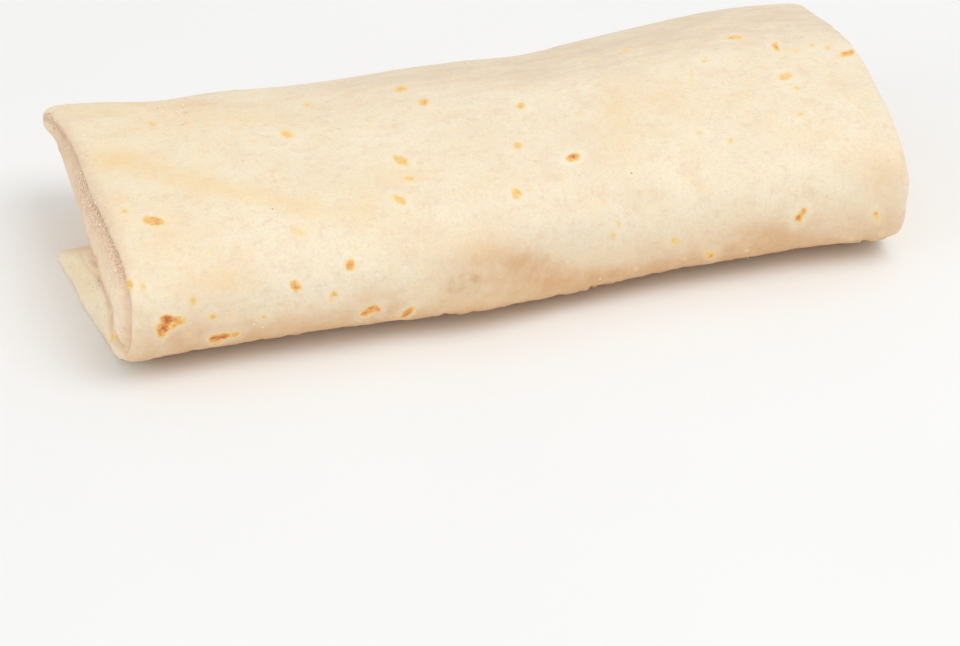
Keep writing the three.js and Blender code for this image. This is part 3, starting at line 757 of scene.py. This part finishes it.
# Patches of a shade: the noise's size, detail, roughness and stretch, the noise's values between
# which the patch grows, and its share in the middle.
BROAD_PATCHES = [
    ("pink", (4.5, 4, 0.6), 0.46, 0.72, 0.44),
    ("yellow", (5, 3, 0.55, (1, 1.4, 1.2)), 0.54, 0.76, 0.35),
]
FINE_PATCHES = [
    ("mottling", (1.7, 4, 0.65), 0.5, 0.7, 0.42),
    ("fleck", (0.9, 3, 0.6), 0.52, 0.72, 0.4),
]
FINE_DOTS = [("dot", (0.36, 1), 0.66, 0.76, 0.35)]
SPECK_SPACING = 4.5  # millimetres between the places where a dark speck may be
SPECK_SHARE = (0.93, 0.94)  # of the places, those past this have one
SKIN_DEPTH = (1.0, 0.6, 0.35)  # how far light goes into the sheet, as shares of SKIN_SCALE
SKIN_SCALE = 1.5 * MM
BUMP_HEIGHT = 0.2 * MM


def rgb(red, green, blue):
    """A colour given as it shows on a screen, 0 to 255, as Blender takes it."""
    shown = np.array([red, green, blue]) / 255
    linear = np.where(shown <= 0.04045, shown / 12.92, ((shown + 0.055) / 1.055) ** 2.4)
    return (*linear.tolist(), 1.0)


def tortilla_material():
    n = Nodes("tortilla")
    shade = {name: rgb(*shown) for name, shown in SHADES.items()}

    def share(name, factor, clamp=False):
        """The sheet's own share of something, times a factor."""
        return n.math("MULTIPLY", n.attribute(name), factor, clamp=clamp)

    def with_patches(colour, patches):
        for name, noise, low, high, most in patches:
            colour = n.mix(n.ramp(n.noise(*noise), low, high, 0.0, most), colour, shade[name])
        return colour

    colour = n.mix(n.ramp(n.noise(10, 4, 0.6), 0.32, 0.7, 0.2, 0.85), shade["cream"], shade["white"])
    colour = with_patches(colour, BROAD_PATCHES)

    # The folded-in layers of the ends.
    band = n.mix(n.ramp(n.noise(3, 4, 0.6), 0.35, 0.65), shade["band"], shade["band light"])
    inner = n.math("ADD", n.attribute("inner"), n.math("MULTIPLY_ADD", n.noise(1, 3), 0.5, -0.25))
    colour = n.mix(n.ramp(inner, 0.2, 0.8), colour, band)

    # The sheet's own unevenness and tints, with painted light and shade among them.
    # Paler patches, partly painted light where the sheet lies in shade.
    colour = n.mix(share("pale", 0.8), colour, shade["white"])
    colour = with_patches(colour, FINE_PATCHES)
    uneven = n.ramp(n.noise(2.5, 4, 0.65), 0.3, 0.65, 0.68, 1.05)
    # Painted warm shade along the lower edge.
    low = share("low", 0.95)
    colour = n.mix(n.math("MULTIPLY", low, uneven), colour, shade["lower edge"])
    # Tints of the sheet; one of them is painted warm shade.
    for name in ("yellow", "pink", "warm_shade", "ashen"):
        colour = n.mix(share(name, uneven), colour, shade[name])
    streaks = n.ramp(n.noise(2.2, 5, 0.7, (0.22, 1, 1)), 0.35, 0.65)
    colour = n.mix(share("back", n.math("MULTIPLY_ADD", streaks, 0.4, 0.22)), colour, shade["ashen"])
    grain = n.noise(0.55, 4, 0.7)
    colour = n.mix(n.ramp(grain, 0.42, 0.7, 0.0, 0.24), colour, shade["grain"])
    colour = with_patches(colour, FINE_DOTS)
    rough = share("rough", n.ramp(n.noise(0.7, 3, 0.7), 0.45, 0.65))
    colour = n.mix(n.math("MULTIPLY", rough, 0.3), colour, shade["rough"])
    # Painted shade in the wrinkles and hollows.
    colour = n.mix(share("fold", 2.4, clamp=True), colour, shade["fold"])
    # Painted highlight in a pale ring round the toast marks.
    colour = n.mix(share("halo", 0.32), colour, shade["halo"])

    # The line where the folded-in layers meet the rim, painted shade about it and in the grooves, and
    # the frost about it.
    # Painted shade on the rim beside the crease.
    rim_shade = share("rim_shade", n.ramp(n.noise(1.8, 4, 0.6), 0.3, 0.7, 0.5, 1.1))
    colour = n.mix(rim_shade, colour, shade["rim_shade"])
    # Painted shade in the crease and in the grooves.
    line = n.math("ADD", n.attribute("crease"), n.math("MULTIPLY_ADD", n.noise(1, 3, 0.6), 0.8, -0.4))
    colour = n.mix(n.ramp(line, 0.1, 1.2, 0.0, 0.4), colour, shade["crease"])
    colour = n.mix(share("groove", 1.8, clamp=True), colour, shade["groove"])
    icy = n.math("MAXIMUM", n.attribute("icy"), share("rime", 0.4))
    pits = n.math("MULTIPLY", icy, n.ramp(n.noise(0.4, 2, 0.6), 0.46, 0.6, 0.0, 0.75))
    colour = n.mix(pits, colour, shade["pit"])
    ice = n.math("MULTIPLY", icy, n.ramp(n.noise(0.3, 1), 0.58, 0.7, 0.0, 0.65))
    colour = n.mix(ice, colour, shade["ice"])

    # Toast marks.
    ragged = n.math("MULTIPLY_ADD", n.noise(0.45, 2, 0.5), 0.8, -0.26)
    ragged = n.math("MULTIPLY_ADD", n.noise(1.1, 3, 0.6), 1.9, ragged)
    toasted = share("toast", ragged)
    toast = n.colours(toasted, [(depth, rgb(*shown)) for depth, shown in TOASTING])
    colour = n.mix(n.ramp(toasted, 0.02, 0.42), colour, toast)

    # Dark specks, rare and small.
    cells = n.add("ShaderNodeTexVoronoi", Vector=n.place, Scale=1 / (SPECK_SPACING * MM))
    parts = n.add("ShaderNodeSeparateColor", Color=cells.outputs["Color"])
    chosen = n.ramp(parts.outputs[0], *SPECK_SHARE)
    speck = n.math("MULTIPLY", n.ramp(cells.outputs["Distance"], 0.03, 0.06, 1.0, 0.0), chosen)
    colour = n.mix(n.math("MULTIPLY", speck, 0.55), colour, shade["speck"])

    # A bump finer than the mesh, strongest where the skin is crumpled.
    crumpled = n.math("MAXIMUM", n.math("MAXIMUM", n.attribute("rough"), icy), share("lip", 0.25))
    crumpled = n.math("MULTIPLY", crumpled, 1.5)
    fine = n.math("MULTIPLY", n.noise(0.5, 4, 0.6), n.math("ADD", crumpled, 0.7))
    height = n.math("ADD", fine, n.noise(2.2, 3, 0.5))
    bump = n.add("ShaderNodeBump", Height=height, Strength=0.5, Distance=BUMP_HEIGHT)

    return n.finish({
        "Base Color": colour,
        "Roughness": n.ramp(grain, 0.2, 0.8, 0.62, 0.8),
        "Subsurface Weight": 0.15,
        "Subsurface Radius": SKIN_DEPTH,
        "Subsurface Scale": SKIN_SCALE,
        "Specular IOR Level": 0.35,
        "Normal": bump.outputs[0],
    })


def frost_material():
    n = Nodes("frost")
    return n.finish({
        "Base Color": n.mix(n.noise(1.5), rgb(246, 228, 204), rgb(252, 242, 226)),
        "Roughness": n.ramp(n.noise(0.4), 0.3, 0.7, 0.3, 0.6),
    })


def floor_material():
    n = Nodes("floor")
    return n.finish({
        "Base Color": n.mix(n.noise(60), rgb(243, 243, 242), rgb(247, 247, 246)),
        "Roughness": 0.9,
    })


# ---- the tortilla ----
def place_roll():
    """The grid of the roll, moved so that its box has the middle of the node that it replaces."""
    points, depth_in, side, banded = roll_grid()
    low, high = (np.array(corner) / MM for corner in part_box("burrito"))
    own_low, own_high = points.min((0, 1)), points.max((0, 1))
    points += (low + high - own_low - own_high) / 2 * (1, 1, 0)
    return points, depth_in, side, banded


def painted(px, py, spots, shown, steepness=1.0):
    """Sum of soft spots, each (x, y, width, height, tilt if any, strength), where `shown` is true."""
    total = np.zeros(px.shape)
    for x, y, width, height, *tilt, strength in spots:
        total += strength * np.exp(-(ellipse(px, py, x, y, width, height, *tilt) ** 2) * steepness)
    return np.where(shown, total, 0)


def find_back(points):
    """Share of the wrinkled part at the top of the back."""
    turn = np.degrees(np.arctan2(points[..., 2] - CORE_HEIGHT, points[..., 1]))
    around = smoothstep(*BACK_BEGINS, turn) * (1 - smoothstep(*BACK_ENDS, turn))
    return around * smoothstep(*BACK_STATIONS, points[..., 0])


def find_relief(points, px, py, facing, depth_in, back):
    """The relief, with the shares of folds and grooves, darkened as painted shade, and of rough skin,
    which is tinted.
    """
    relief = layered(points, SHEET_LUMPS) + back * layered(points, BACK_LUMPS)
    relief += painted(px, py, BLISTERS, facing, BLISTER_STEEPNESS)
    fold = painted(px, py, HOLLOWS, facing)
    groove = sum(deep * soft(off_path(px, py, path) * 2 / width) for width, deep, path in CREASES)
    groove = np.where(facing, groove, 0)
    rough = np.where(facing, sum(np.exp(-(ellipse(px, py, *spot) ** 4)) for spot in ROUGH), 0)
    relief += rough * layered(points, ROUGH_LUMPS) - fold - groove
    lower_edge = soft((points[..., 2] - CRUMBS_AT) / CRUMBS_REACH) * (points[..., 1] < 0)
    crumbly = 0.2 + 0.6 * smoothstep(-0.2, 0.5, lumps(points, CRUMBLY_SIZE, CRUMBLY_SEED))
    relief += lower_edge * crumbly * np.minimum(layered(points, CRUMBS), CRUMBS_TOP)
    relief += smoothstep(*RIM_STEPS, depth_in) * layered(points, RIM_LUMPS)
    return relief * (1 - smoothstep(*SLIT_STEPS, depth_in)), fold, groove, rough


def seen_marks(px, py, facing):
    """Depth of toasting of the marks that the picture shows, and of the painted highlight round them."""
    toast, halo = np.zeros(px.shape), np.zeros(px.shape)
    for x, y, width, height, tilt, toasted in MARKS:
        distance = np.where(facing, ellipse(px, py, x, y, width, height, tilt), FAR_OFF)
        past = (distance - 1) * math.sqrt(width * height) / 2  # pixels off the outline
        toast = np.maximum(toast, toasted * smoothstep(-1, 1, -past / MARK_EDGE))
        halo = np.maximum(halo, toasted * soft((past - HALO_AT) / HALO_WIDTH))
    return toast, halo


def unseen_marks(points, hidden):
    """Depth of toasting of random marks, at points that the picture doesn't show."""
    pick = np.random.default_rng(SEED)
    flat = points.reshape(-1, 3)
    toast = np.zeros(points.shape[:2])
    for at in pick.choice(hidden, UNSEEN_MARKS, replace=False):
        size = np.array(UNSEEN_SHAPE) * pick.uniform(0.4, 1.3) * pick.uniform(0.7, 1.3, 3)
        distance = np.linalg.norm((points - flat[at]) / size, axis=-1)
        toast = np.maximum(toast, pick.uniform(0.2, 0.9) * smoothstep(-0.7, 0.7, 1 - distance))
    return toast


def find_end_marks(points, px, py, depth_in, side, banded):
    """Shares of what shows at the ends: folded-in layers, painted shade in their crease, rime, lip,
    painted shade along the lower edge.
    """
    up = points[..., 2]
    on_band = smoothstep(0.3, 0.8, banded)
    # Painted shade in the crease where the folded-in layers meet the rim.
    crease = soft((depth_in - CREASE_STEP) / CREASE_WIDTH) * on_band
    crease *= 0.5 + 0.5 * smoothstep(6, 16, up)
    crease *= 1 - 0.7 * soft(ellipse(px, py, *NUB))
    rime = soft((depth_in - RIME_STEP) / RIME_WIDTH) * on_band
    rime += soft((depth_in - SLIT_RIME_STEP) / SLIT_RIME_WIDTH)
    rime = np.clip(rime, 0, 1) * smoothstep(-0.35, 0.35, lumps(points, RIME_LUMPS, RIME_SEED))
    lip = smoothstep(*LIP_STEPS, depth_in) * (side < 0) * (1 - banded)
    # Painted warm shade along the lower edge of the front.
    low = (1 - smoothstep(*LOW_HEIGHTS, up)) * (points[..., 1] < 0) * (1 - lip)
    low *= np.where(side > 0, 1 - 0.8 * smoothstep(*FOOT_STEPS, depth_in), 1)
    inner = smoothstep(*BAND_STEPS, depth_in) * smoothstep(0.0, 0.6, banded)
    return {"inner": inner, "crease": crease, "rime": rime, "lip": lip, "low": low}


def make_tortilla():
    """The tortilla and the frost on it."""
    points, depth_in, side, banded = place_roll()
    normals = grid_normals(points)
    px, py = picture_place(points)
    view = CAMERA_AT - points
    towards = (view * normals).sum(-1) / np.linalg.norm(view, axis=-1)
    facing = towards > 0

    back = find_back(points)
    relief, fold, groove, rough = find_relief(points, px, py, facing, depth_in, back)
    points += normals * relief[..., None]
    points[..., 2] = np.maximum(points[..., 2], 0)

    toast, halo = seen_marks(px, py, facing)
    hidden = np.flatnonzero((towards < UNSEEN_BELOW) & (depth_in < OUTSIDE_STEPS))
    shares = {
        "toast": np.maximum(toast, unseen_marks(points, hidden)),
        "halo": halo, "rough": rough, "back": back, "fold": fold, "groove": groove,
        **find_end_marks(points, px, py, depth_in, side, banded),
    }
    for name, spots in ZONES.items():
        shares[name] = np.clip(painted(px, py, spots, facing), 0, 1)
    within = np.maximum(smoothstep(*WITHIN_STEPS, depth_in), 1 - banded)
    shares["icy"] *= within

    piece = mesh_of("tortilla", points.reshape(-1, 3), grid_faces(*px.shape), tortilla_material())
    for name, values in shares.items():
        attribute(piece.data, name, values)
    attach(piece, "root")
    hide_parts("burrito")

    frosted = 0.3 * shares["rime"] + 0.001 + painted(px, py, FROST, towards > FROST_ABOVE)
    frosted *= np.where(points[..., 0] < LEFT_END_FROM, 0.1 + 0.9 * within, 1)
    frosted *= smoothstep(-0.5, 0.6, lumps(points, FROST_PATCHES, FROST_SEED))
    begins, ends = (lerp(lip, band, banded) for lip, band in zip(LIP_SLIT_STEPS, SLIT_STEPS))
    frosted *= 1 - smoothstep(begins, ends, depth_in)
    make_frost(points, normals, frosted * (points[..., 2] > GRAINS_ABOVE))


def make_frost(points, normals, weights):
    """Grains of ice that stand on the tortilla's surface, thickest where weights are high."""
    pick = np.random.default_rng(SEED + 1)
    likely = weights.ravel() / weights.sum()
    chosen = pick.choice(likely.size, GRAINS, replace=False, p=likely)
    flat_points, flat_normals = points.reshape(-1, 3), normals.reshape(-1, 3)
    grain = bmesh.new()
    bmesh.ops.create_icosphere(grain, subdivisions=1, radius=1.0)
    shape = np.array([v.co[:] for v in grain.verts])
    sides = np.array([[v.index for v in f.verts] for f in grain.faces])
    grain.free()
    smallest, largest = GRAIN_SIZE
    radii = smallest * (largest / smallest) ** (pick.random(GRAINS) ** 2)
    corners, faces = [], []
    for k, at in enumerate(chosen):
        lumpy = shape * pick.uniform(0.6, 1.15, shape.shape) * radii[k]
        beside = pick.uniform(-GRAIN_SHIFT, GRAIN_SHIFT, 3)
        centre = flat_points[at] + beside + flat_normals[at] * radii[k] * GRAIN_STANDS
        corners.append(lumpy + centre)
        faces.extend((sides + k * len(shape)).tolist())
    corners = np.concatenate(corners)
    corners[:, 2] = np.maximum(corners[:, 2], 0)
    piece = mesh_of("frost", corners, faces, frost_material())
    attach(piece, "root")


# ---- the studio and the camera ----
def area_light(name, at, size, power):
    """A round light that shines on the origin."""
    light = bpy.data.lights.new(name, "AREA")
    light.shape, light.size, light.energy = "DISK", size, power
    lamp = add_object(name, light)
    lamp.location = at
    lamp.rotation_euler = (-Vector(at)).to_track_quat("-Z", "Y").to_euler()


def make_studio():
    bpy.ops.mesh.primitive_plane_add(size=FLOOR_SIZE)
    floor = bpy.context.active_object
    floor.name = "floor"
    floor.data.materials.append(floor_material())
    for light in LIGHTS:
        area_light(*light)
    world = bpy.data.worlds.new("studio")
    world.use_nodes = True
    background = world.node_tree.nodes["Background"]
    background.inputs["Color"].default_value = (1, 1, 1, 1)
    background.inputs["Strength"].default_value = SKY_STRENGTH
    bpy.context.scene.world = world
    bpy.context.scene.view_settings.view_transform = "Standard"


def make_camera():
    data = bpy.data.cameras.new("camera")
    data.lens, data.sensor_width = LENS, SENSOR
    data.clip_start, data.clip_end = 0.01, 20
    camera = add_object("camera", data)
    turn = Matrix([RIGHT.tolist(), UP.tolist(), BACKWARD.tolist()]).transposed().to_4x4()
    camera.matrix_world = Matrix.Translation(CAMERA_AT * MM) @ turn
    bpy.context.scene.camera = camera


make_camera()
make_tortilla()
make_studio()
